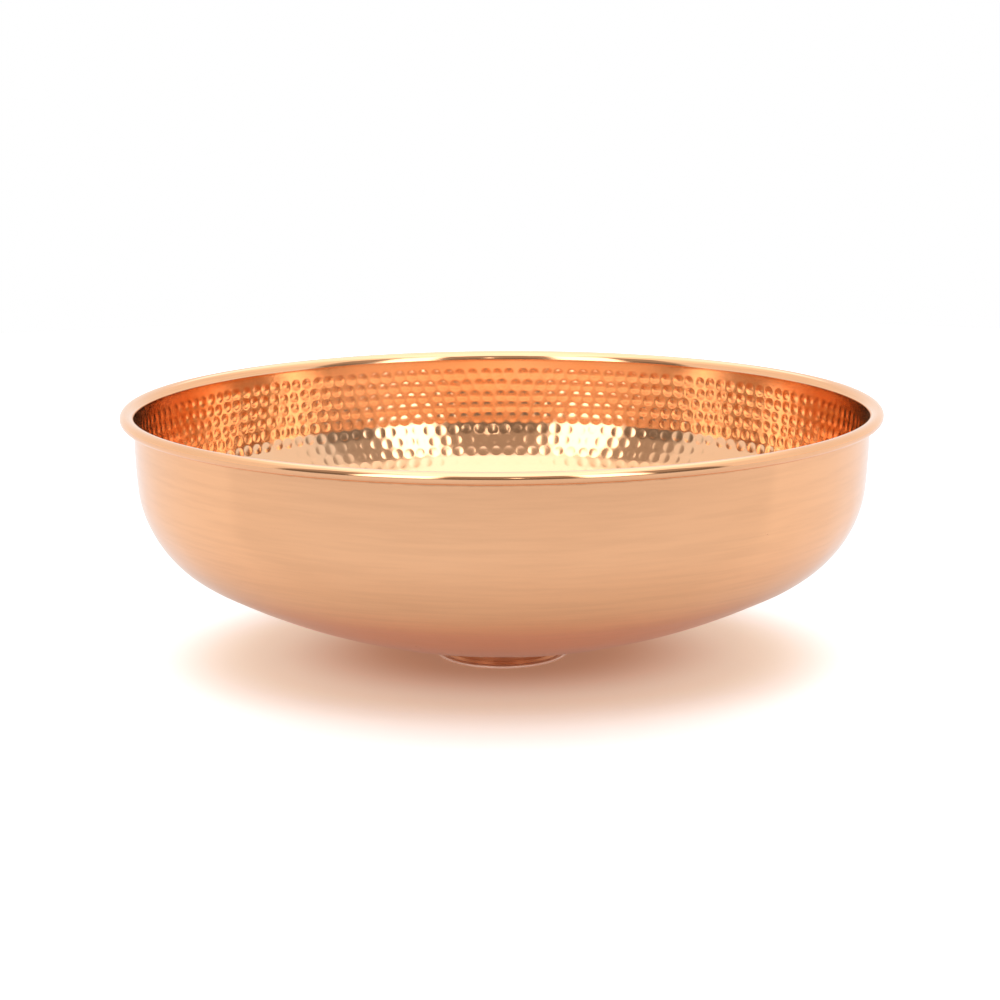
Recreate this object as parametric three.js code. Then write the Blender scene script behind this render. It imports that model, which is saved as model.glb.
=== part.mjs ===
// Round copper wash bowl with a rolled rim, a pressed outlet cup and a flat foot ring.
// Units are millimetres and +Z is up. The origin is on the axis of the bowl, at the underside of
// the foot ring, which is the face that the bowl stands on.

import * as THREE from 'three';

// Whole bowl
const OVERALL_RADIUS = 215;
const RIM_CENTRE_HEIGHT = 144.4;
const SHEET = 1.2;
const GAP = 0.3;

// Rolled rim: the sheet flares out, turns round the rim wire and tucks back under to the wall
const CURL_RADIUS = 3.2;
const FLARE_RADIUS = 5.3;
const TUCK_RADIUS = 7;
const TUCK_END_RADIUS = 208;
const RIM_WIRE_RADIUS = 1.7;

// Outer face of the wall, from the rim down: upright, then arcs that run into each other.
// Each arc has its radius and the slope, in degrees from level, that it ends at.
const WALL_RADIUS = 207.4;
const UPRIGHT_FOOT_HEIGHT = 135.6;
const WALL_ARCS = [
  { name: 'upper wall', radius: 367, endSlope: 85.2, steps: 3 },
  { name: 'shoulder', radius: 61, endSlope: 29.2, steps: 8 },
  { name: 'belly', radius: 390, endSlope: 13.2, steps: 5 },
];

// Outlet: a straight-sided cup in the middle of the bowl, with a flat seat for a basin waste
const CUP_RADIUS = 34.2;
const CUP_BEND_RADIUS = 2;
const SEAT_HEIGHT = 3;
const OUTLET_RADIUS = 22.5;

// Foot ring, brazed under the cup
const FOOT_RADIUS = 38.1;
const FOOT_THICKNESS = 1.5;
const FOOT_EDGE = 0.3;

// Facets round the axis
const BOWL_FACETS = 64;
const OUTLET_FACETS = 48;
const WIRE_FACETS = 10;

const copper = (color, roughness) => new THREE.MeshStandardMaterial({ color, roughness, metalness: 1 });

// The outward unit normal of a face whose slope is the given number of degrees from level.
function faceNormal(slope) {
  const a = THREE.MathUtils.degToRad(slope);
  return new THREE.Vector2(Math.sin(a), -Math.cos(a));
}

// Points on a circle in the section plane, where x is the distance from the axis and y the height.
function arcPoints(centre, radius, fromDegrees, toDegrees, steps) {
  const points = [];
  for (let i = 0; i <= steps; i += 1) {
    const a = THREE.MathUtils.degToRad(THREE.MathUtils.lerp(fromDegrees, toDegrees, i / steps));
    points.push(new THREE.Vector2(centre.x + radius * Math.cos(a), centre.y + radius * Math.sin(a)));
  }
  return points;
}

// One face of the bowl's wall, from the upright down to the cup. The inset is its depth in the sheet.
function wallFace(inset, endRadius) {
  const points = [new THREE.Vector2(WALL_RADIUS - inset, UPRIGHT_FOOT_HEIGHT)];
  const meeting = new THREE.Vector2(WALL_RADIUS, UPRIGHT_FOOT_HEIGHT);
  let slope = 90;
  for (const arc of WALL_ARCS) {
    const centre = meeting.clone().addScaledVector(faceNormal(slope), -arc.radius);
    for (let i = 1; i <= arc.steps; i += 1) {
      const normal = faceNormal(THREE.MathUtils.lerp(slope, arc.endSlope, i / arc.steps));
      points.push(centre.clone().addScaledVector(normal, arc.radius - inset));
    }
    slope = arc.endSlope;
    meeting.copy(centre).addScaledVector(faceNormal(slope), arc.radius);
  }
  const last = points[points.length - 1];
  const drop = (last.x - endRadius) * Math.tan(THREE.MathUtils.degToRad(slope));
  points.push(new THREE.Vector2(endRadius, last.y - drop));
  return points;
}

// Turns a section, listed anticlockwise and closed here, once round the +Z axis.
function turned(section, facets) {
  return new THREE.LatheGeometry([...section, section[0]], facets).rotateX(Math.PI / 2);
}

function named(name, geometry, material) {
  const mesh = new THREE.Mesh(geometry, material);
  mesh.name = name;
  return mesh;
}

// Bowl shell: one spun sheet, from the hole that takes the cup to the rolled rim
function bowlShell() {
  const curl = new THREE.Vector2(OVERALL_RADIUS - CURL_RADIUS, RIM_CENTRE_HEIGHT);
  const crown = curl.y + CURL_RADIUS;
  const flare = new THREE.Vector2(WALL_RADIUS - SHEET + FLARE_RADIUS, crown - FLARE_RADIUS);
  const tuck = new THREE.Vector2(curl.x, curl.y - CURL_RADIUS + TUCK_RADIUS);
  const tuckAngle = (radius) => THREE.MathUtils.radToDeg(Math.acos((TUCK_END_RADIUS - tuck.x) / radius));
  const holeRadius = CUP_RADIUS + GAP;

  const outside = wallFace(0, holeRadius).reverse();
  const underFlare = arcPoints(flare, FLARE_RADIUS - SHEET, 180, 90, 4);
  const insideCurl = arcPoints(curl, CURL_RADIUS - SHEET, 90, -90, 6);
  const tuckRadiusInside = TUCK_RADIUS - SHEET;
  const insideTuck = arcPoints(tuck, tuckRadiusInside, 270, 360 - tuckAngle(tuckRadiusInside), 2);
  const outsideTuck = arcPoints(tuck, TUCK_RADIUS, 360 - tuckAngle(TUCK_RADIUS), 270, 2);
  const outsideCurl = arcPoints(curl, CURL_RADIUS, -90, 90, 8);
  const overFlare = arcPoints(flare, FLARE_RADIUS, 90, 180, 5);
  const inside = wallFace(SHEET, holeRadius);

  const section = [
    ...outside,
    ...underFlare,
    ...insideCurl,
    ...insideTuck.slice(1),
    ...outsideTuck,
    ...outsideCurl.slice(1),
    ...overFlare,
    ...inside,
  ];
  return named('bowl_shell', turned(section, BOWL_FACETS), copper(0xe8a988, 0.12));
}

// Rim wire: a ring of round wire that the rim is rolled over
function rimWire() {
  const centre = new THREE.Vector2(OVERALL_RADIUS - CURL_RADIUS, RIM_CENTRE_HEIGHT);
  const section = arcPoints(centre, RIM_WIRE_RADIUS, 0, 360, WIRE_FACETS).slice(0, -1);
  return named('rim_wire', turned(section, BOWL_FACETS), copper(0xb87a55, 0.35));
}

// Outlet cup: pressed sheet with an upright collar, a flat seat and the outlet hole
function outletCup() {
  const shellInside = wallFace(SHEET, CUP_RADIUS);
  const topHeight = shellInside[shellInside.length - 1].y;
  const bend = new THREE.Vector2(CUP_RADIUS - CUP_BEND_RADIUS, SEAT_HEIGHT - SHEET + CUP_BEND_RADIUS);
  const section = [
    new THREE.Vector2(OUTLET_RADIUS, SEAT_HEIGHT - SHEET),
    ...arcPoints(bend, CUP_BEND_RADIUS, -90, 0, 4),
    new THREE.Vector2(CUP_RADIUS, topHeight),
    new THREE.Vector2(CUP_RADIUS - SHEET, topHeight),
    ...arcPoints(bend, CUP_BEND_RADIUS - SHEET, 0, -90, 3),
    new THREE.Vector2(OUTLET_RADIUS, SEAT_HEIGHT),
  ];
  return named('outlet_cup', turned(section, OUTLET_FACETS), copper(0xc9805c, 0.2));
}

// Foot ring: a flat washer with eased outer corners, wider than the cup so that it shows as a lip
function footRing() {
  const section = [
    new THREE.Vector2(OUTLET_RADIUS, 0),
    new THREE.Vector2(FOOT_RADIUS - FOOT_EDGE, 0),
    new THREE.Vector2(FOOT_RADIUS, FOOT_EDGE),
    new THREE.Vector2(FOOT_RADIUS, FOOT_THICKNESS - FOOT_EDGE),
    new THREE.Vector2(FOOT_RADIUS - FOOT_EDGE, FOOT_THICKNESS),
    new THREE.Vector2(OUTLET_RADIUS, FOOT_THICKNESS),
  ];
  return named('foot_ring', turned(section, OUTLET_FACETS), copper(0xd08a68, 0.18));
}

const bowl = new THREE.Group();
bowl.name = 'copper_bowl';
bowl.add(bowlShell());
bowl.add(rimWire());
bowl.add(outletCup());
bowl.add(footRing());

export default bowl;
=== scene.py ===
"""Looks of a hammered copper wash bowl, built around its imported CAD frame.

The bowl is spun from one sheet of copper. Its polished outside with the rolled rim is one skin here, and
its hammered inside is a second skin in six rings, so that every hammer mark is real geometry.
"""

import math
import random

import bpy
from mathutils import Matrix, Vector
from mathutils.kdtree import KDTree


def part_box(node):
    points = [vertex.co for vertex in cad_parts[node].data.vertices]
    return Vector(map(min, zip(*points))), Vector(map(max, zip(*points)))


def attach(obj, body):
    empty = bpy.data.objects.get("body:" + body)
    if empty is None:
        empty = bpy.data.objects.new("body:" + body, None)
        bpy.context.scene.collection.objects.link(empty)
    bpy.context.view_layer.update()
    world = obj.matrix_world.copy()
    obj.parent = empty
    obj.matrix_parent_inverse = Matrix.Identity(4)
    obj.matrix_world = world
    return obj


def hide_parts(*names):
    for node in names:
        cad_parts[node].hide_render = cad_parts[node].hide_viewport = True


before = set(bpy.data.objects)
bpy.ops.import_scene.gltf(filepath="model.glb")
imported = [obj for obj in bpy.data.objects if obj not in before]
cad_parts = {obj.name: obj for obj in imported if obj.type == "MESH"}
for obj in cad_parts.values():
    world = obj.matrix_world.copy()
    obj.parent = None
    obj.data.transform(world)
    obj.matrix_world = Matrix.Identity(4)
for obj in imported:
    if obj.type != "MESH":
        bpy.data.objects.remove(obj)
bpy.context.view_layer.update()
SHELL_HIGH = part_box("bowl_shell")[1]
CUP_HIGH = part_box("outlet_cup")[1]
FOOT_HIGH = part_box("foot_ring")[1]

bl_info = {
    "name": "Hammered Copper Bowl",
    "version": (1, 0, 0),
    "blender": (4, 5, 0),
    "location": "3D View > Sidebar > Copper Bowl",
    "description": "Spins, hammers and polishes a round copper wash bowl",
    "category": "Object",
}

MM = 0.001

# Clearance of the brazed joint between the shell and the outlet cup
JOINT_GAP = 0.3 * MM

# How far the turned-back edge of the rim stops from the wall
TUCK_CLEARANCE = 0.35 * MM

# How deep in the sheet the outer skin meets the hammered one, and the play between the two
SKIN_SPLIT = 0.34 * MM
SKIN_PLAY = 0.02 * MM

# Unevenness of the outer wall: the size of its waves and their height, and the points it fades over
WAVE_SIZE = 28 * MM
WAVE_HEIGHT = 0.34 * MM
WAVE_FADE = 14
WALL_STEPS = 100

# Bends and eased edges of the outlet cup and the foot ring
CUP_BEND = 2 * MM
CUP_EASE = 0.25 * MM
FOOT_EASE = 0.45 * MM
FOOT_HOLE_EASE = 0.2 * MM

# Unevenness of the brazed seams
BRAZE_RUN_SIZE = 4 * MM
BRAZE_RUN_HEIGHT = 0.12 * MM
BRAZE_CROWN = 0.12 * MM

# How far a brazed seam laps over its neighbours, and how wide it shows outside and inside
BRAZE_LAP = 0.01 * MM
COLLAR_LEG = 1.5 * MM
FOOT_LEG = 0.7 * MM
FOOT_INNER_LEG = 1 * MM

# How far the painted shade in a joint's crease reaches over the copper beside it
RIM_PAINTED_SHADE = 2 * MM
COLLAR_PAINTED_SHADE = 2.2 * MM
FOOT_PAINTED_SHADE = 1.6 * MM

# Gap where the rim wire's two ends meet
WIRE_GAP = 0.4 * MM

# A hammer mark is a shallow hollow, a little fuller than a ball's
HOLLOW_SHAPE = 1.05

# Unevenness of the blows: shares of the pitch, size and depth, and drift off the row. A row at the edge
# of a ring drifts less, so that no mark crosses into the next ring.
ROW_PITCH_SPREAD = (0.96, 1.05)
MARK_SIZE_SPREAD = (0.92, 1.03)
MARK_DEPTH_SPREAD = (0.8, 1.0)
SIDE_DRIFT = 0.09
ROW_DRIFT = 0.45 * MM
EDGE_ROW_DRIFT = 0.15 * MM

# The camera: its place, how far it looks down, its small roll in degrees, and its lens in millimetres
CAMERA_PLACE = (0, -1.1822, 0.3376)
CAMERA_DOWN = 11.834
CAMERA_ROLL = 0.266
CAMERA_LENS = 75.46
CAMERA_SENSOR = 36

# The table where it is looked at: white far out, with a painted shadow under the bowl and a painted
# copper-tinted shadow at the foot for the copper's light on the table.
# The painted shadow reaches less far to the front than to the sides, so lengths to the front count for more.
TABLE_RADIUS = 1.6
TABLE_STRETCH = (1.0, 1.4, 0.0)
TABLE_WHITE = (0.99, 0.98, 0.97)
TABLE_PAINTED_SHADOW = (0.88, 0.765, 0.645)
TABLE_PAINTED_COPPER_SHADOW = (0.65, 0.41, 0.275)
TABLE_PAINTED_SHADOW_EDGE = (0.14, 0.22)
TABLE_PAINTED_COPPER_SHADOW_EDGE = (0.055, 0.14)
# The table glows in its own tones, so its painted shadows give off light as well
TABLE_GLOW = 0.27

# The table where the copper reflects it: paler at the back than at the front, in two steps, with a painted
# copper-tinted shadow round the foot
MIRRORED_FRONT = (0.49, 0.49, 0.49)
MIRRORED_BACK = (0.605, 0.605, 0.605)
MIRRORED_PAINTED_COPPER_SHADOW = (0.66, 0.46, 0.37)
MIRRORED_SLOPE = (-1.0, 0.1)
MIRRORED_STEP = (-0.2, -0.13)
MIRRORED_STEP_SHARE = 0.35
MIRRORED_PAINTED_COPPER_SHADOW_EDGE = (0.08, 0.21)

# The studio's light, as colours that may be brighter than white
WALL_LIGHT = (1.05, 1.05, 1.04)
TOP_LIGHT = (1.35, 1.34, 1.32)
BACK_LIGHT = (1.75, 1.8, 1.98)
CEILING_LIGHT = (2.0, 2.05, 2.25)
SOFTBOX_LIGHT = (3.6, 3.6, 3.6)
SPOT_LIGHT = (4.0, 3.9, 3.8)
DIM_LOW = (0.22, 0.205, 0.19)
DIM_HIGH = (0.46, 0.42, 0.39)

# Panels round the camera: azimuth from and to, elevation from and to, and softness, all in degrees
DIM_END = (-66, 66, -60, 49, 3)
LEFT_SOFTBOX = (-42, -19, 1, 46, 3)
RIGHT_SOFTBOX = (23, 42, 1, 46, 3)
SPOT = (3, 5.5, 16, 24, 1)

# Light areas overhead, on a level plane at unit height: from, to and softness, to the right and the front
CEILING_ACROSS = (-0.46, 0.46, 0.1)
CEILING_ALONG = (-0.25, 0.85, 0.08)
BACK_ACROSS = (-0.5, 0.5, 0.12)
BACK_ALONG = (-1.7, -0.2, 0.1)

# Elevations, in degrees, between which the dim end and the walls grow lighter
DIM_FADE = (14, 24)
WALL_FADE = (35, 55)

# How dark streaks and the painted crease shade are beside the copper, and how dark and deep pits are for
# their strength
STREAK_SHADE = 0.8
PAINTED_SHADE_DARKNESS = 0.35
PIT_SHADE = 2
PIT_RELIEF = 4

# Roughness of the unpolished pieces
WIRE_ROUGHNESS = 0.32
SATIN_ROUGHNESS = 0.3
BRAZE_ROUGHNESS = 0.34
CUT_ROUGHNESS = 0.5

# Corners turned by more than this stay sharp
SHARP_ANGLE = 50
PLATE_SHARP_ANGLE = 40
BRAZE_SHARP_ANGLE = 60

# A turned piece is spun as one slice, which is then copied round. Points this close are one point.
SLICES = 24
WELD = 1e-6
SLICE_WELD = 2e-6

# Columns round the bowl for each turned piece, whose sections have fewer points than the hammered rings
SKIN_COLUMNS = 360
SMALL_COLUMNS = 240
CUP_COLUMNS = 192

# The wall below its upright part: the radius of each arc, and the slope from level that it ends at
WALL_ARCS = ((367 * MM, 85.2), (61 * MM, 29.2), (390 * MM, 13.2))

# The hammered rings from the rim down: rows of marks, points for each row, and columns round the bowl
HAMMERED_RINGS = (
    ("hammered_wall_top", 4, 12, 1776),
    ("hammered_wall_foot", 4, 12, 1776),
    ("hammered_shoulder", 4, 12, 1680),
    ("hammered_belly", 4, 12, 1440),
    ("hammered_belly_foot", 4, 12, 1200),
    ("hammered_floor", 8, 11, 912),
)


class BowlSizes(bpy.types.PropertyGroup):
    """Sizes of the spun sheet and its rim"""

    sheet: bpy.props.FloatProperty(
        name="Sheet", description="Thickness of the copper sheet", default=1.2 * MM, unit="LENGTH"
    )
    wall_radius: bpy.props.FloatProperty(
        name="Wall Radius", description="Radius of the upright outer wall", default=207.4 * MM, unit="LENGTH"
    )
    upright_foot: bpy.props.FloatProperty(
        name="Upright Foot", description="Height where the upright wall ends",
        default=135.6 * MM, unit="LENGTH"
    )
    curl_radius: bpy.props.FloatProperty(
        name="Curl Radius", description="Outer radius of the rolled edge", default=3.2 * MM, unit="LENGTH"
    )
    flare_radius: bpy.props.FloatProperty(
        name="Flare Radius", description="Radius of the bend from wall to rim",
        default=5.3 * MM, unit="LENGTH"
    )
    tuck_radius: bpy.props.FloatProperty(
        name="Tuck Radius", description="Radius of the edge turned back to the wall",
        default=7 * MM, unit="LENGTH"
    )
    wire_radius: bpy.props.FloatProperty(
        name="Rim Wire Radius", description="Radius of the wire inside the rim",
        default=1.7 * MM, unit="LENGTH"
    )
    outlet_radius: bpy.props.FloatProperty(
        name="Outlet Radius", description="Radius of the outlet hole", default=22.5 * MM, unit="LENGTH"
    )
    seat_height: bpy.props.FloatProperty(
        name="Seat Height", description="Height of the flat seat in the outlet cup",
        default=3 * MM, unit="LENGTH"
    )


class HammerMarks(bpy.types.PropertyGroup):
    """Size, spacing and unevenness of the hammer marks"""

    radius: bpy.props.FloatProperty(
        name="Mark Radius", description="Radius of one hammer mark", default=3.55 * MM, unit="LENGTH"
    )
    depth: bpy.props.FloatProperty(
        name="Mark Depth", description="Depth of the deepest mark", default=0.23 * MM, unit="LENGTH"
    )
    row_pitch: bpy.props.FloatProperty(
        name="Row Pitch", description="Distance between rows of marks", default=7.4 * MM, unit="LENGTH"
    )
    pitch: bpy.props.FloatProperty(
        name="Pitch", description="Distance between marks along a row", default=8.3 * MM, unit="LENGTH"
    )
    first_row: bpy.props.FloatProperty(
        name="First Row", description="Distance of the first row below the rim's top",
        default=14.5 * MM, unit="LENGTH"
    )
    seed: bpy.props.IntProperty(name="Seed", description="Start of the random unevenness", default=11)


class CopperFinish(bpy.types.PropertyGroup):
    """Colours and gloss of the copper"""

    inside: bpy.props.FloatVectorProperty(
        name="Inside Copper", description="Colour of the copper inside the bowl", subtype="COLOR",
        default=(0.85, 0.53, 0.325), min=0, max=1
    )
    bright: bpy.props.FloatVectorProperty(
        name="Bright Copper", description="Colour of freshly polished copper", subtype="COLOR",
        default=(0.90, 0.495, 0.268), min=0, max=1
    )
    warm: bpy.props.FloatVectorProperty(
        name="Warm Copper", description="Colour where the polish has warmed", subtype="COLOR",
        default=(0.89, 0.48, 0.255), min=0, max=1
    )
    dull: bpy.props.FloatVectorProperty(
        name="Dull Copper", description="Colour of unpolished, slightly darkened copper", subtype="COLOR",
        default=(0.60, 0.28, 0.15), min=0, max=1
    )
    # Pale copper for the whole foot ring: partly its copper, partly a painted highlight for the light its
    # edge catches from the table
    foot_tone_and_highlight: bpy.props.FloatVectorProperty(
        name="Foot Tone and Highlight", description="Colour of the bare cut edge of the foot ring", subtype="COLOR",
        default=(0.97, 0.80, 0.68), min=0, max=1
    )
    braze: bpy.props.FloatVectorProperty(
        name="Braze", description="Colour of the brazed seams", subtype="COLOR",
        default=(0.58, 0.28, 0.15), min=0, max=1
    )
    inside_gloss: bpy.props.FloatProperty(
        name="Inside Roughness", description="Roughness of the inside of the bowl", subtype="FACTOR",
        default=0.115, min=0, max=1
    )
    gloss: bpy.props.FloatProperty(
        name="Polish Roughness", description="Roughness of the polished copper", subtype="FACTOR",
        default=0.07, min=0, max=1
    )


# ---- The wall's line ----


def face_normal(slope):
    """The outward direction, in the section, of a face whose slope from level is given in degrees."""
    return Vector((math.sin(math.radians(slope)), -math.cos(math.radians(slope))))


def flare_centre(sizes):
    """The centre of the bend that carries the wall out into the rim."""
    return Vector((
        sizes.wall_radius - sizes.sheet + sizes.flare_radius,
        SHELL_HIGH[2] - sizes.flare_radius,
    ))


def curl_centre(sizes):
    """The centre of the rolled edge, which is also the rim wire's."""
    return Vector((SHELL_HIGH[0] - sizes.curl_radius, SHELL_HIGH[2] - sizes.curl_radius))


def wall_point(sizes, distance, inset):
    """A point of the section at a distance down the inner face from the flare, and its depth in the sheet."""
    top = flare_centre(sizes).y
    upright = top - sizes.upright_foot
    if distance <= upright:
        return Vector((sizes.wall_radius - inset, top - distance))
    left = distance - upright
    meeting = Vector((sizes.wall_radius, sizes.upright_foot))
    slope = 90.0
    for radius, end_slope in WALL_ARCS:
        centre = meeting - face_normal(slope) * radius
        length = (radius - sizes.sheet) * math.radians(slope - end_slope)
        if left <= length:
            here = slope - (slope - end_slope) * left / length
            return centre + face_normal(here) * (radius - inset)
        left -= length
        slope = end_slope
        meeting = centre + face_normal(slope) * radius
    down = Vector((-math.cos(math.radians(slope)), -math.sin(math.radians(slope))))
    return meeting - face_normal(slope) * inset + down * left


def wall_length(sizes, end_radius):
    """How far down the inner face the sheet runs before it reaches a radius, found by halving."""
    low, high = 0.0, 2 * SHELL_HIGH[0]
    while high - low > 1e-7:
        middle = (low + high) / 2
        if wall_point(sizes, middle, sizes.sheet).x > end_radius:
            low = middle
        else:
            high = middle
    return low


def wall_line(sizes, start, end, inset, steps):
    """Evenly spaced points of the wall's section between two distances."""
    return [wall_point(sizes, start + (end - start) * i / steps, inset) for i in range(steps + 1)]


def arc_line(centre, radius, start, end, steps):
    """Points on an arc of the section, with its angles in degrees."""
    points = []
    for i in range(steps + 1):
        angle = math.radians(start + (end - start) * i / steps)
        points.append(centre + Vector((math.cos(angle), math.sin(angle))) * radius)
    return points


# ---- Modelling ----


def trace_section(name, points, groups=()):
    """Draws a closed section by extruding one corner from point to point.

    Each group names a stretch of points, and how many of them it takes to fade in and out.
    """
    bpy.ops.object.select_all(action="DESELECT")
    first = points[0]
    bpy.ops.mesh.primitive_plane_add(size=MM, location=(first.x, 0, first.y))
    piece = bpy.context.object
    piece.name = name
    piece.data.name = name
    bpy.ops.object.transform_apply(location=True, rotation=True, scale=True)
    bpy.ops.object.mode_set(mode="EDIT")
    bpy.ops.mesh.select_all(action="SELECT")
    bpy.ops.mesh.merge(type="CENTER")
    here = first
    for point in points[1:] + [first]:
        step = point - here
        bpy.ops.mesh.extrude_region_move(TRANSFORM_OT_translate={"value": (step.x, 0, step.y)})
        here = point
    bpy.ops.object.mode_set(mode="OBJECT")
    for group_name, start, end, fade in groups:
        group = piece.vertex_groups.new(name=group_name)
        for i in range(start, end):
            group.add([i], min(1.0, (i - start + 1) / fade, (end - i) / fade), "REPLACE")
    return piece


def spin_section(piece, columns, turn=math.tau):
    """Spins the traced section round the bowl's axis: first one slice, then copies of the slice."""
    bpy.ops.object.mode_set(mode="EDIT")
    bpy.ops.mesh.select_all(action="SELECT")
    bpy.ops.mesh.remove_doubles(threshold=WELD)
    slice_turn = turn / SLICES
    axis = {"center": (0, 0, 0), "axis": (0, 0, 1)}
    bpy.ops.mesh.spin(steps=columns // SLICES, angle=slice_turn, **axis)
    bpy.ops.mesh.select_all(action="SELECT")
    bpy.ops.mesh.spin(steps=SLICES - 1, angle=turn - slice_turn, dupli=True, **axis)
    bpy.ops.mesh.select_all(action="SELECT")
    bpy.ops.mesh.remove_doubles(threshold=SLICE_WELD)
    bpy.ops.mesh.normals_make_consistent(inside=False)
    bpy.ops.object.mode_set(mode="OBJECT")


def smooth(piece, degrees=SHARP_ANGLE):
    """Smooth shading, with true corners kept sharp."""
    bpy.ops.object.select_all(action="DESELECT")
    bpy.context.view_layer.objects.active = piece
    piece.select_set(True)
    bpy.ops.object.shade_smooth_by_angle(angle=math.radians(degrees))


def place(piece, material, slot, *nodes):
    """Gives a finished piece its material and its place in the frame."""
    piece.data.materials.clear()
    piece.data.materials.append(material)
    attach(piece, "root")
    if nodes:
        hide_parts(*nodes)


def displace(piece, group, strength, texture=None):
    """Moves a named stretch of the surface along its normals."""
    bpy.context.view_layer.objects.active = piece
    modifier = piece.modifiers.new("Displace", "DISPLACE")
    modifier.vertex_group = group
    modifier.direction = "NORMAL"
    modifier.strength = strength
    modifier.mid_level = 0.0
    if texture:
        modifier.texture = texture
        modifier.texture_coords = "LOCAL"
        modifier.mid_level = 0.5
    bpy.ops.object.modifier_apply(modifier=modifier.name)


def hammer(piece, group_name, blows, deepest):
    """Drives the metal outwards at every blow. A blow has a place, a radius and a depth."""
    group = piece.vertex_groups[group_name]
    vertices = piece.data.vertices
    face = [v.index for v in vertices if v.groups and v.groups[0].weight > 0]
    tree = KDTree(len(face))
    for index in face:
        tree.insert(vertices[index].co, index)
    tree.balance()
    driven = {}
    for place_of_blow, radius, depth in blows:
        for _, index, distance in tree.find_range(place_of_blow, radius):
            hollow = (1 - (distance / radius) ** 2) ** HOLLOW_SHAPE
            driven[index] = max(driven.get(index, 0.0), hollow * depth / deepest)
    group.add(face, 0.0, "REPLACE")
    for index, weight in driven.items():
        group.add([index], weight, "REPLACE")
    displace(piece, group_name, deepest)


# ---- Shader building ----


class Nodes:
    """A node tree with short calls for adding and joining nodes."""

    def __init__(self, tree):
        self.tree = tree

    def add(self, kind, inputs=(), **settings):
        node = self.tree.nodes.new(kind)
        for key, value in settings.items():
            setattr(node, key, value)
        for key, value in dict(inputs).items():
            if isinstance(value, bpy.types.NodeSocket):
                self.tree.links.new(value, node.inputs[key])
            else:
                node.inputs[key].default_value = value
        return node

    def math(self, operation, *values):
        node = self.add("ShaderNodeMath", enumerate(values), operation=operation)
        return node.outputs[0]

    def vector(self, operation, *values):
        node = self.add("ShaderNodeVectorMath", enumerate(values), operation=operation)
        return node.outputs[0]

    def ramp(self, value, low, high, to_low=0.0, to_high=1.0):
        node = self.add(
            "ShaderNodeMapRange",
            {"Value": value, "From Min": low, "From Max": high, "To Min": to_low, "To Max": to_high},
            interpolation_type="SMOOTHSTEP",
        )
        return node.outputs["Result"]

    def mix(self, factor, first, second):
        node = self.add("ShaderNodeMix", {"Factor": factor}, data_type="RGBA")
        for key, value in (("A", first), ("B", second)):
            socket = [s for s in node.inputs if s.name == key and s.type == "RGBA"][0]
            if isinstance(value, bpy.types.NodeSocket):
                self.tree.links.new(value, socket)
            else:
                socket.default_value = (*value[:3], 1.0)
        return [s for s in node.outputs if s.type == "RGBA"][0]

    def noise(self, vector, scale, detail=2.0, roughness=0.5):
        node = self.add(
            "ShaderNodeTexNoise", {"Vector": vector, "Scale": scale, "Detail": detail, "Roughness": roughness}
        )
        return node.outputs["Fac"]


def new_group(name, inputs, outputs):
    """An empty shader node group with named sockets, and its input and output nodes."""
    group = bpy.data.node_groups.new(name, "ShaderNodeTree")
    for label, kind, default in inputs:
        socket = group.interface.new_socket(label, in_out="INPUT", socket_type=kind)
        if default is not None:
            socket.default_value = default
    for label, kind in outputs:
        group.interface.new_socket(label, in_out="OUTPUT", socket_type=kind)
    nodes = Nodes(group)
    start = nodes.add("NodeGroupInput")
    end = nodes.add("NodeGroupOutput")
    return group, nodes, start.outputs, end.inputs


def round_coordinates(nodes, position):
    """Distance from the bowl's axis, height, and a direction round it that has no seam."""
    parts = nodes.add("ShaderNodeSeparateXYZ", {"Vector": position}).outputs
    flat = nodes.add("ShaderNodeCombineXYZ", {"X": parts["X"], "Y": parts["Y"], "Z": 0.0}).outputs[0]
    radius = nodes.add("ShaderNodeVectorMath", {0: flat}, operation="LENGTH").outputs["Value"]
    around = nodes.vector("NORMALIZE", flat)
    return radius, parts["Z"], around


def spinning_lines_group():
    """Fine rings left by spinning and buffing: a height for bump and a small change of roughness."""
    name = "Spinning Lines"
    if name in bpy.data.node_groups:
        return bpy.data.node_groups[name]
    group, nodes, given, made = new_group(
        name,
        (
            ("Position", "NodeSocketVector", None),
            ("Lines per Metre", "NodeSocketFloat", 900.0),
            ("Drift", "NodeSocketFloat", 0.6),
        ),
        (("Height", "NodeSocketFloat"), ("Lines", "NodeSocketFloat")),
    )
    radius, height, around = round_coordinates(nodes, given["Position"])
    along = nodes.math("ADD", radius, height)
    across = nodes.math("MULTIPLY", along, given["Lines per Metre"])
    sideways = nodes.add("ShaderNodeSeparateXYZ", {"Vector": around}).outputs
    place_on_line = nodes.add("ShaderNodeCombineXYZ", {
        "X": nodes.math("MULTIPLY", sideways["X"], given["Drift"]),
        "Y": nodes.math("MULTIPLY", sideways["Y"], given["Drift"]),
        "Z": across,
    }).outputs[0]
    lines = nodes.noise(place_on_line, 1.0, detail=3.0, roughness=0.65)
    nodes.tree.links.new(lines, made["Height"])
    nodes.tree.links.new(nodes.ramp(lines, 0.35, 0.7), made["Lines"])
    return group


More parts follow.
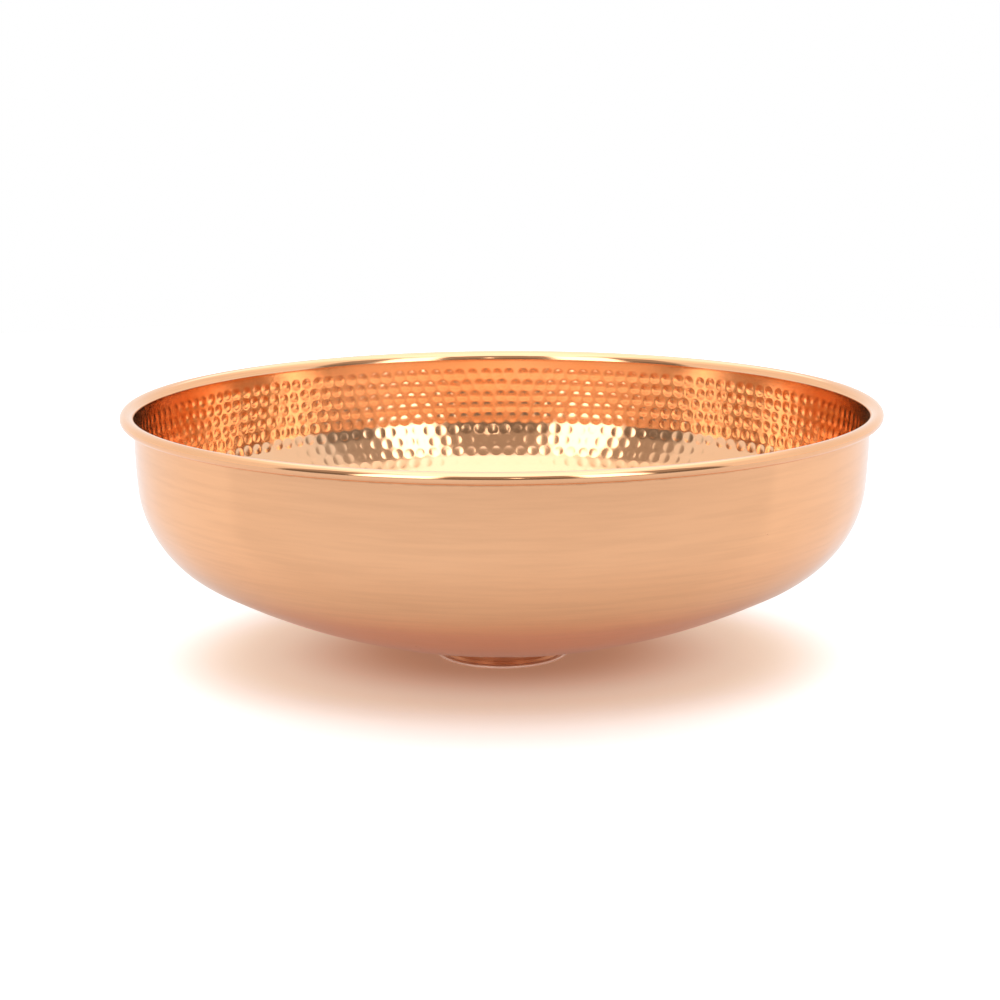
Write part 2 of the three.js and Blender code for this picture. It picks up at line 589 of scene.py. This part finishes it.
def handling_group():
    """Cloudy smears from hands and cloths, and a scatter of tiny pits."""
    name = "Handling Marks"
    if name in bpy.data.node_groups:
        return bpy.data.node_groups[name]
    group, nodes, given, made = new_group(
        name,
        (
            ("Position", "NodeSocketVector", None),
            ("Smear Scale", "NodeSocketFloat", 14.0),
            ("Pit Scale", "NodeSocketFloat", 90.0),
        ),
        (("Smears", "NodeSocketFloat"), ("Pits", "NodeSocketFloat")),
    )
    bent = nodes.add(
        "ShaderNodeTexNoise", {"Vector": given["Position"], "Scale": given["Smear Scale"], "Detail": 1.0}
    ).outputs["Color"]
    swept = nodes.vector("MULTIPLY_ADD", bent, (0.12, 0.12, 0.12), given["Position"])
    smears = nodes.noise(swept, given["Smear Scale"], detail=5.0, roughness=0.62)
    nodes.tree.links.new(nodes.ramp(smears, 0.42, 0.72), made["Smears"])
    cells = nodes.add(
        "ShaderNodeTexVoronoi", {"Vector": given["Position"], "Scale": given["Pit Scale"], "Randomness": 1.0}
    )
    small = nodes.ramp(cells.outputs["Distance"], 0.02, 0.06, 1.0, 0.0)
    chosen = nodes.add("ShaderNodeSeparateColor", {"Color": cells.outputs["Color"]}).outputs[0]
    rare = nodes.math("GREATER_THAN", chosen, 0.93)
    nodes.tree.links.new(nodes.math("MULTIPLY", small, rare), made["Pits"])
    return group


def tone_group():
    """Slow drift of the copper's colour between two tones, as heat and polish leave it."""
    name = "Copper Tone"
    if name in bpy.data.node_groups:
        return bpy.data.node_groups[name]
    group, nodes, given, made = new_group(
        name,
        (
            ("Position", "NodeSocketVector", None),
            ("Bright", "NodeSocketColor", (0.9, 0.5, 0.3, 1)),
            ("Warm", "NodeSocketColor", (0.8, 0.4, 0.2, 1)),
            ("Scale", "NodeSocketFloat", 6.0),
        ),
        (("Color", "NodeSocketColor"),),
    )
    drift = nodes.noise(given["Position"], given["Scale"], detail=4.0, roughness=0.55)
    share = nodes.ramp(drift, 0.35, 0.68)
    nodes.tree.links.new(nodes.mix(share, given["Bright"], given["Warm"]), made["Color"])
    return group


def copper_material(name, bright, warm, roughness, lines=0.1, line_count=900.0, line_depth=0.02 * MM,
                    drift=0.6, streaks=0.0, smear=0.05, pits=0.0, seam=None, painted_darkening=0.0):
    """Polished copper. A seam gives the centre radius and height, and reach, of painted shade in a joint's
    crease.
    """
    material = bpy.data.materials.new(name)
    material.use_nodes = True
    tree = material.node_tree
    nodes = Nodes(tree)
    shader = tree.nodes["Principled BSDF"]
    shader.inputs["Metallic"].default_value = 1.0
    position = nodes.add("ShaderNodeTexCoord").outputs["Object"]

    tone = nodes.add("ShaderNodeGroup", node_tree=tone_group())
    tree.links.new(position, tone.inputs["Position"])
    tone.inputs["Bright"].default_value = (*bright, 1)
    tone.inputs["Warm"].default_value = (*warm, 1)
    color = tone.outputs["Color"]

    marks = nodes.add("ShaderNodeGroup", node_tree=handling_group())
    tree.links.new(position, marks.inputs["Position"])
    rings = nodes.add("ShaderNodeGroup", node_tree=spinning_lines_group())
    tree.links.new(position, rings.inputs["Position"])
    rings.inputs["Lines per Metre"].default_value = line_count
    rings.inputs["Drift"].default_value = drift

    if streaks:
        darker = tuple(channel * STREAK_SHADE for channel in warm)
        color = nodes.mix(nodes.math("MULTIPLY", rings.outputs["Lines"], streaks), color, darker)
        color = nodes.mix(nodes.math("MULTIPLY", marks.outputs["Pits"], PIT_SHADE * pits), color, darker)

    rough = nodes.math("MULTIPLY_ADD", marks.outputs["Smears"], smear, roughness)
    rough = nodes.math("MULTIPLY_ADD", rings.outputs["Lines"], 0.3 * smear, rough)
    rough = nodes.math("MULTIPLY_ADD", marks.outputs["Pits"], pits, rough)
    # A seam's crease gets painted shade, darkest at the crease and ragged at its edge
    if seam:
        radius, height, _ = round_coordinates(nodes, position)
        out = nodes.math("SUBTRACT", radius, seam[0])
        up = nodes.math("SUBTRACT", height, seam[1])
        squares = nodes.math("ADD", nodes.math("MULTIPLY", out, out), nodes.math("MULTIPLY", up, up))
        away = nodes.math("SQRT", squares)
        ragged = nodes.math("MULTIPLY_ADD", nodes.noise(position, 160.0), 0.5 * seam[2], away)
        close = nodes.ramp(ragged, 0.3 * seam[2], 1.2 * seam[2], 1.0, 0.0)
        painted_shade = nodes.math("MULTIPLY", close, painted_darkening)
        color = nodes.mix(painted_shade, color, tuple(channel * PAINTED_SHADE_DARKNESS for channel in warm))
        rough = nodes.math("MULTIPLY_ADD", painted_shade, 0.25, rough)
    tree.links.new(color, shader.inputs["Base Color"])
    tree.links.new(rough, shader.inputs["Roughness"])

    pit_depth = nodes.math("MULTIPLY", marks.outputs["Pits"], PIT_RELIEF * pits)
    relief = nodes.math("SUBTRACT", rings.outputs["Height"], pit_depth)
    bump = nodes.add("ShaderNodeBump", {"Height": relief, "Strength": lines, "Distance": line_depth})
    tree.links.new(bump.outputs["Normal"], shader.inputs["Normal"])
    return material


# ---- Operators ----


class COPPERBOWL_OT_outer_skin(bpy.types.Operator):
    """Spin the polished outside of the bowl with its rolled rim"""

    bl_idname = "copperbowl.outer_skin"
    bl_label = "Spin Outer Skin and Rim"

    def execute(self, context):
        sizes = context.scene.bowl_sizes
        marks = context.scene.hammer_marks
        finish = context.scene.copper_finish
        flare = flare_centre(sizes)
        curl = curl_centre(sizes)
        tuck = Vector((curl.x, curl.y - sizes.curl_radius + sizes.tuck_radius))
        tuck_end = sizes.wall_radius + TUCK_CLEARANCE
        inner_tuck = sizes.tuck_radius - sizes.sheet
        whole = wall_length(sizes, CUP_HIGH[0] + JOINT_GAP)
        band = smooth_band(sizes, marks)

        def tuck_angle(radius):
            return 360 - math.degrees(math.acos((tuck_end - tuck.x) / radius))

        section = wall_line(sizes, 0, whole, 0, WALL_STEPS)[::-1]
        section += arc_line(flare, sizes.flare_radius - sizes.sheet, 180, 90, 8)[1:]
        section += arc_line(curl, sizes.curl_radius - sizes.sheet, 90, -90, 12)
        section += arc_line(tuck, inner_tuck, 270, tuck_angle(inner_tuck), 3)[1:]
        section += arc_line(tuck, sizes.tuck_radius, tuck_angle(sizes.tuck_radius), 270, 5)
        section += arc_line(curl, sizes.curl_radius, -90, 90, 20)[1:]
        section += arc_line(flare, sizes.flare_radius, 90, 180, 14)
        section += wall_line(sizes, 0, band, sizes.sheet, 4)[1:]
        section += wall_line(sizes, band, whole, SKIN_SPLIT, 40)
        skin = trace_section("outer_skin", section, (("wall", 1, WALL_STEPS, WAVE_FADE),))
        spin_section(skin, SKIN_COLUMNS)
        waviness = bpy.data.textures.new("Sheet Waviness", "CLOUDS")
        waviness.noise_scale = WAVE_SIZE
        waviness.noise_depth = 1
        displace(skin, "wall", WAVE_HEIGHT, waviness)
        smooth(skin)
        # Painted shade in the crease under the rolled rim
        crease = (sizes.wall_radius, curl.y - sizes.curl_radius, RIM_PAINTED_SHADE)
        material = copper_material(
            "Polished Copper", finish.bright, finish.warm, finish.gloss, lines=0.7, line_count=260.0,
            line_depth=0.06 * MM, drift=3.0, streaks=0.28, smear=0.05, pits=0.4, seam=crease, painted_darkening=0.9
        )
        place(skin, material, "bowl_copper", "bowl_shell")
        inside = copper_material(
            "Brushed Copper", finish.inside, finish.warm, finish.inside_gloss, lines=0.2, smear=0.06
        )
        skin.data.materials.append(inside)
        inner_face = sizes.wall_radius - 0.9 * sizes.sheet
        for face in skin.data.polygons:
            if face.center.xy.length < inner_face and face.center.z > flare.y - band:
                face.material_index = 1
        return {"FINISHED"}


def smooth_band(sizes, marks):
    """The length of the smooth band between the flare and the hammered rings."""
    return marks.first_row - sizes.flare_radius - marks.row_pitch / 2


class COPPERBOWL_OT_hammered_skin(bpy.types.Operator):
    """Spin the inside of the bowl in rings and hammer every mark into it"""

    bl_idname = "copperbowl.hammered_skin"
    bl_label = "Hammer the Inside"

    def execute(self, context):
        sizes = context.scene.bowl_sizes
        marks = context.scene.hammer_marks
        finish = context.scene.copper_finish
        chance = random.Random(marks.seed)
        whole = wall_length(sizes, CUP_HIGH[0] + JOINT_GAP)
        material = copper_material(
            "Hammered Copper", finish.inside, finish.warm, finish.inside_gloss,
            lines=0.1, smear=0.05, pits=0.15
        )
        start = smooth_band(sizes, marks)
        for name, rows, points, columns in HAMMERED_RINGS:
            end = start + rows * marks.row_pitch
            last = name == HAMMERED_RINGS[-1][0]
            stop = whole if last else end
            steps = rows * points
            front = wall_line(sizes, start, end, sizes.sheet, steps)
            if last:
                front += wall_line(sizes, end, whole, sizes.sheet, 6)[1:]
            back = wall_line(sizes, stop, start, SKIN_SPLIT + SKIN_PLAY, rows)
            ring = trace_section(name, front + back, (("driven", 1, steps, 1),))
            spin_section(ring, columns)
            blows = []
            for row in range(rows):
                middle = start + (row + 0.5) * marks.row_pitch
                at_edge = row in (0, rows - 1)
                blows += row_of_blows(sizes, marks, middle, at_edge, chance)
            hammer(ring, "driven", blows, marks.depth)
            smooth(ring)
            place(ring, material, "bowl_copper", "bowl_shell")
            start = end
        return {"FINISHED"}


def row_of_blows(sizes, marks, middle, at_edge, chance):
    """The hammer blows of one row: evenly spaced by eye, so their place, size and depth vary a little."""
    radius = wall_point(sizes, middle, sizes.sheet).x
    count = round(math.tau * radius / (marks.pitch * chance.uniform(*ROW_PITCH_SPREAD)))
    phase = chance.uniform(0, math.tau)
    drift = EDGE_ROW_DRIFT if at_edge else ROW_DRIFT
    blows = []
    for i in range(count):
        angle = phase + math.tau * (i + chance.uniform(-SIDE_DRIFT, SIDE_DRIFT)) / count
        point = wall_point(sizes, middle + chance.uniform(-drift, drift), sizes.sheet)
        spot = Vector((point.x * math.cos(angle), point.x * math.sin(angle), point.y))
        size = marks.radius * chance.uniform(*MARK_SIZE_SPREAD)
        blows.append((spot, size, marks.depth * chance.uniform(*MARK_DEPTH_SPREAD)))
    return blows


class COPPERBOWL_OT_rim_wire(bpy.types.Operator):
    """Bend the rim wire into a ring that meets end to end"""

    bl_idname = "copperbowl.rim_wire"
    bl_label = "Bend Rim Wire"

    def execute(self, context):
        sizes = context.scene.bowl_sizes
        finish = context.scene.copper_finish
        centre = curl_centre(sizes)
        section = arc_line(centre, sizes.wire_radius, 0, 360, 16)[:-1]
        wire = trace_section("rim_wire_ring", section)
        spin_section(wire, SMALL_COLUMNS, math.tau - WIRE_GAP / centre.x)
        bpy.ops.object.mode_set(mode="EDIT")
        bpy.ops.mesh.select_all(action="SELECT")
        bpy.ops.mesh.fill_holes(sides=0)
        bpy.ops.mesh.normals_make_consistent(inside=False)
        bpy.ops.object.mode_set(mode="OBJECT")
        smooth(wire)
        material = copper_material(
            "Drawn Copper Wire", finish.dull, finish.warm, WIRE_ROUGHNESS, lines=0.3, smear=0.12
        )
        place(wire, material, "wire_copper", "rim_wire")
        return {"FINISHED"}


class COPPERBOWL_OT_outlet(bpy.types.Operator):
    """Press the outlet cup and run the brazed seams round it"""

    bl_idname = "copperbowl.outlet"
    bl_label = "Press and Braze Outlet Cup"

    def execute(self, context):
        sizes = context.scene.bowl_sizes
        finish = context.scene.copper_finish
        cup_radius, cup_top = CUP_HIGH[0], CUP_HIGH[2]
        inner_bend = CUP_BEND - sizes.sheet
        bottom = sizes.seat_height - sizes.sheet
        ease = CUP_EASE
        bend = Vector((cup_radius - CUP_BEND, bottom + CUP_BEND))
        section = arc_line(Vector((sizes.outlet_radius + ease, bottom + ease)), ease, 180, 270, 3)
        section += arc_line(bend, CUP_BEND, -90, 0, 8)
        section += arc_line(Vector((cup_radius - ease, cup_top - ease)), ease, 0, 90, 3)
        section += arc_line(Vector((cup_radius - sizes.sheet + ease, cup_top - ease)), ease, 90, 180, 3)
        section += arc_line(bend, inner_bend, 0, -90, 6)
        section += arc_line(Vector((sizes.outlet_radius + ease, sizes.seat_height - ease)), ease, 90, 180, 3)
        cup = trace_section("outlet_cup_pressing", section)
        spin_section(cup, CUP_COLUMNS)
        smooth(cup, PLATE_SHARP_ANGLE)
        # The cup's tone drifts from warm to dull copper: partly unpolished copper, partly painted shade for
        # the recess under the bowl
        cup_material = copper_material(
            "Satin Copper", finish.warm, finish.dull, SATIN_ROUGHNESS,
            lines=0.5, line_count=2600.0, smear=0.14, pits=0.2,
            # Painted shade where the cup's side meets the foot ring
            seam=(cup_radius, FOOT_HIGH[2], COLLAR_PAINTED_SHADE), painted_darkening=0.6
        )
        place(cup, cup_material, "cup_copper", "outlet_cup")

        # The braze's dark colour is partly its own, partly painted shade under the bowl
        braze = copper_material(
            "Braze", finish.braze, finish.dull, BRAZE_ROUGHNESS, lines=0.4, line_count=500.0, smear=0.2
        )
        seams = (("collar_braze", self.collar_fillet(sizes)), ("foot_braze", self.foot_fillet(sizes)))
        for name, section in seams:
            seam = trace_section(name, section, (("run", 0, len(section), 1),))
            spin_section(seam, SMALL_COLUMNS)
            runs = bpy.data.textures.new(name, "CLOUDS")
            runs.noise_scale = BRAZE_RUN_SIZE
            displace(seam, "run", BRAZE_RUN_HEIGHT, runs)
            smooth(seam, BRAZE_SHARP_ANGLE)
            place(seam, braze, "cup_copper")
        return {"FINISHED"}

    def collar_fillet(self, sizes):
        """Braze in the gap round the cup's top, with a hollow fillet under the shell."""
        cup = CUP_HIGH[0] + SKIN_PLAY
        hole = CUP_HIGH[0] + JOINT_GAP - SKIN_PLAY
        under = wall_point(sizes, wall_length(sizes, hole + COLLAR_LEG), 0)
        inside = wall_point(sizes, wall_length(sizes, hole), sizes.sheet)
        below = wall_point(sizes, wall_length(sizes, hole), 0)
        leg = under.x - cup
        centre = Vector((under.x + 0.25 * leg, under.y - 1.25 * leg))
        fillet = arc_line(centre, 1.25 * leg, 176, 104, 6)
        crown = Vector(((cup + hole) / 2, inside.y + BRAZE_CROWN))
        return fillet + [Vector((hole, below.y)), Vector((hole, inside.y)), crown, Vector((cup, inside.y))]

    def foot_fillet(self, sizes):
        """Braze between the cup's bottom bend and the foot ring."""
        top = FOOT_HIGH[2] + BRAZE_LAP
        bottom = sizes.seat_height - sizes.sheet - BRAZE_LAP
        bend = Vector((CUP_HIGH[0] - CUP_BEND, bottom + CUP_BEND))
        rounded = arc_line(bend, CUP_BEND + BRAZE_LAP, -20, -90, 6)
        inner = bend.x - FOOT_INNER_LEG
        flat = [Vector((inner, top)), Vector((CUP_HIGH[0] + FOOT_LEG, top))]
        return flat + rounded + [Vector((inner, bottom))]


class COPPERBOWL_OT_foot_ring(bpy.types.Operator):
    """Cut the flat foot ring and ease its edges"""

    bl_idname = "copperbowl.foot_ring"
    bl_label = "Cut Foot Ring"

    def execute(self, context):
        sizes = context.scene.bowl_sizes
        finish = context.scene.copper_finish
        radius, top = FOOT_HIGH[0], FOOT_HIGH[2]
        ease = FOOT_EASE
        small = FOOT_HOLE_EASE
        section = arc_line(Vector((radius - ease, ease)), ease, -90, 0, 5)
        section += arc_line(Vector((radius - ease, top - ease)), ease, 0, 90, 5)
        section += arc_line(Vector((sizes.outlet_radius + small, top - small)), small, 90, 180, 3)
        section += arc_line(Vector((sizes.outlet_radius + small, small)), small, 180, 270, 3)
        foot = trace_section("foot_ring_plate", section)
        spin_section(foot, SMALL_COLUMNS)
        smooth(foot, PLATE_SHARP_ANGLE)
        # The pale foot tone is partly a painted highlight
        material = copper_material(
            "Foot Copper", finish.foot_tone_and_highlight, finish.foot_tone_and_highlight, CUT_ROUGHNESS,
            lines=0.4, line_count=1800.0, smear=0.1, pits=0.3,
            # Painted shade where the foot ring meets the cup
            seam=(CUP_HIGH[0], top, FOOT_PAINTED_SHADE), painted_darkening=0.5
        )
        place(foot, material, "foot_copper", "foot_ring")
        return {"FINISHED"}


class COPPERBOWL_OT_stage(bpy.types.Operator):
    """Set the pale floor, the studio light and the camera"""

    bl_idname = "copperbowl.stage"
    bl_label = "Set Stage"

    def execute(self, context):
        scene = context.scene
        scene.view_settings.view_transform = "Standard"
        bpy.ops.object.select_all(action="DESELECT")
        bpy.ops.mesh.primitive_circle_add(
            vertices=160, radius=TABLE_RADIUS, fill_type="NGON", location=(0, 0, 0)
        )
        floor = context.object
        floor.name = "floor"
        floor.data.materials.append(self.table_material())
        self.set_camera(context)
        self.studio(scene)
        return {"FINISHED"}

    def table_material(self):
        """A matt table, with one tone where it is looked at and one where the copper reflects it. Both carry
        a painted copper-tinted shadow round the foot, the looked-at tone also a wider painted shadow, and the
        table glows in these painted tones.
        """
        material = bpy.data.materials.new("Pale Floor")
        material.use_nodes = True
        nodes = Nodes(material.node_tree)
        shader = material.node_tree.nodes["Principled BSDF"]
        position = nodes.add("ShaderNodeTexCoord").outputs["Object"]
        radius, _, _ = round_coordinates(nodes, position)
        depth = nodes.add("ShaderNodeSeparateXYZ", {"Vector": position}).outputs["Y"]
        slope = nodes.math("MULTIPLY", nodes.ramp(depth, *MIRRORED_SLOPE), 1 - MIRRORED_STEP_SHARE)
        lit = nodes.math("MULTIPLY_ADD", nodes.ramp(depth, *MIRRORED_STEP), MIRRORED_STEP_SHARE, slope)
        mirrored = nodes.mix(lit, MIRRORED_FRONT, MIRRORED_BACK)
        # Painted copper-tinted shadow round the foot, where the copper reflects the table
        mirrored = nodes.mix(nodes.ramp(radius, *MIRRORED_PAINTED_COPPER_SHADOW_EDGE, 1.0, 0.0), mirrored, MIRRORED_PAINTED_COPPER_SHADOW)
        stretched = nodes.vector("MULTIPLY", position, TABLE_STRETCH)
        spread = nodes.add("ShaderNodeVectorMath", {0: stretched}, operation="LENGTH").outputs["Value"]
        # Painted shadow under the bowl, and a painted copper-tinted shadow round the foot
        seen = nodes.mix(nodes.ramp(spread, *TABLE_PAINTED_SHADOW_EDGE), TABLE_PAINTED_SHADOW, TABLE_WHITE)
        seen = nodes.mix(nodes.ramp(spread, *TABLE_PAINTED_COPPER_SHADOW_EDGE, 1.0, 0.0), seen, TABLE_PAINTED_COPPER_SHADOW)
        is_camera = nodes.add("ShaderNodeLightPath").outputs["Is Camera Ray"]
        table = nodes.mix(is_camera, mirrored, seen)
        material.node_tree.links.new(table, shader.inputs["Base Color"])
        material.node_tree.links.new(table, shader.inputs["Emission Color"])
        shader.inputs["Emission Strength"].default_value = TABLE_GLOW
        shader.inputs["Roughness"].default_value = 1.0
        shader.inputs["Specular IOR Level"].default_value = 0.0
        return material

    def set_camera(self, context):
        """A long lens, a little above the rim and looking slightly down."""
        camera_data = bpy.data.cameras.new("camera")
        camera_data.sensor_width = CAMERA_SENSOR
        camera_data.lens = CAMERA_LENS
        camera = bpy.data.objects.new("camera", camera_data)
        camera.location = CAMERA_PLACE
        camera.rotation_euler = (math.radians(90 - CAMERA_DOWN), math.radians(CAMERA_ROLL), 0)
        context.collection.objects.link(camera)
        context.scene.camera = camera

    def studio(self, scene):
        """A white room, dim behind the camera, with two softboxes and a spot there and a bright ceiling."""
        world = bpy.data.worlds.new("studio")
        scene.world = world
        world.use_nodes = True
        tree = world.node_tree
        tree.nodes.clear()
        nodes = Nodes(tree)
        direction = nodes.add("ShaderNodeTexCoord").outputs["Generated"]
        parts = nodes.add("ShaderNodeSeparateXYZ", {"Vector": direction}).outputs
        elevation = nodes.math("DEGREES", nodes.math("ARCSINE", parts["Z"]))
        forward = nodes.math("MULTIPLY", parts["Y"], -1.0)
        azimuth = nodes.math("DEGREES", nodes.math("ARCTAN2", parts["X"], forward))
        height = nodes.math("MAXIMUM", parts["Z"], 0.01)
        right = nodes.math("DIVIDE", parts["X"], height)
        front = nodes.math("DIVIDE", forward, height)

        def window(value, low, high, soft):
            rise = nodes.ramp(value, low - soft, low + soft)
            fall = nodes.ramp(value, high - soft, high + soft, 1.0, 0.0)
            return nodes.math("MULTIPLY", rise, fall)

        def panel(az_low, az_high, el_low, el_high, soft):
            across = window(azimuth, az_low, az_high, soft)
            return nodes.math("MULTIPLY", across, window(elevation, el_low, el_high, soft))

        ceiling = nodes.math("MULTIPLY", window(right, *CEILING_ACROSS), window(front, *CEILING_ALONG))
        back = nodes.math("MULTIPLY", window(right, *BACK_ACROSS), window(front, *BACK_ALONG))
        dim = nodes.mix(nodes.ramp(elevation, *DIM_FADE), DIM_LOW, DIM_HIGH)
        light = nodes.mix(nodes.ramp(elevation, *WALL_FADE), WALL_LIGHT, TOP_LIGHT)
        light = nodes.mix(back, light, BACK_LIGHT)
        light = nodes.mix(panel(*DIM_END), light, dim)
        light = nodes.mix(panel(*LEFT_SOFTBOX), light, SOFTBOX_LIGHT)
        light = nodes.mix(panel(*RIGHT_SOFTBOX), light, SOFTBOX_LIGHT)
        light = nodes.mix(panel(*SPOT), light, SPOT_LIGHT)
        light = nodes.mix(ceiling, light, CEILING_LIGHT)
        is_camera = nodes.add("ShaderNodeLightPath").outputs["Is Camera Ray"]
        seen = nodes.mix(is_camera, light, (1.0, 1.0, 1.0))
        background = nodes.add("ShaderNodeBackground", {"Color": seen, "Strength": 1.0})
        output = nodes.add("ShaderNodeOutputWorld")
        tree.links.new(background.outputs[0], output.inputs["Surface"])


class COPPERBOWL_PT_panel(bpy.types.Panel):
    """Sizes, finish and the making of each piece"""

    bl_idname = "COPPERBOWL_PT_panel"
    bl_label = "Copper Bowl"
    bl_space_type = "VIEW_3D"
    bl_region_type = "UI"
    bl_category = "Copper Bowl"

    def draw(self, context):
        layout = self.layout
        for group in (context.scene.bowl_sizes, context.scene.hammer_marks, context.scene.copper_finish):
            box = layout.box()
            for key in group.__annotations__:
                box.prop(group, key)
        for operator in OPERATORS:
            layout.operator(operator.bl_idname)


OPERATORS = (
    COPPERBOWL_OT_outer_skin,
    COPPERBOWL_OT_hammered_skin,
    COPPERBOWL_OT_rim_wire,
    COPPERBOWL_OT_outlet,
    COPPERBOWL_OT_foot_ring,
    COPPERBOWL_OT_stage,
)
CLASSES = (BowlSizes, HammerMarks, CopperFinish, *OPERATORS, COPPERBOWL_PT_panel)


def register():
    for cls in CLASSES:
        bpy.utils.register_class(cls)
    bpy.types.Scene.bowl_sizes = bpy.props.PointerProperty(type=BowlSizes)
    bpy.types.Scene.hammer_marks = bpy.props.PointerProperty(type=HammerMarks)
    bpy.types.Scene.copper_finish = bpy.props.PointerProperty(type=CopperFinish)


def unregister():
    del bpy.types.Scene.copper_finish
    del bpy.types.Scene.hammer_marks
    del bpy.types.Scene.bowl_sizes
    for cls in reversed(CLASSES):
        bpy.utils.unregister_class(cls)


def main():
    register()
    bpy.ops.copperbowl.outer_skin()
    bpy.ops.copperbowl.hammered_skin()
    bpy.ops.copperbowl.rim_wire()
    bpy.ops.copperbowl.outlet()
    bpy.ops.copperbowl.foot_ring()
    bpy.ops.copperbowl.stage()


if __name__ == "__main__":
    main()
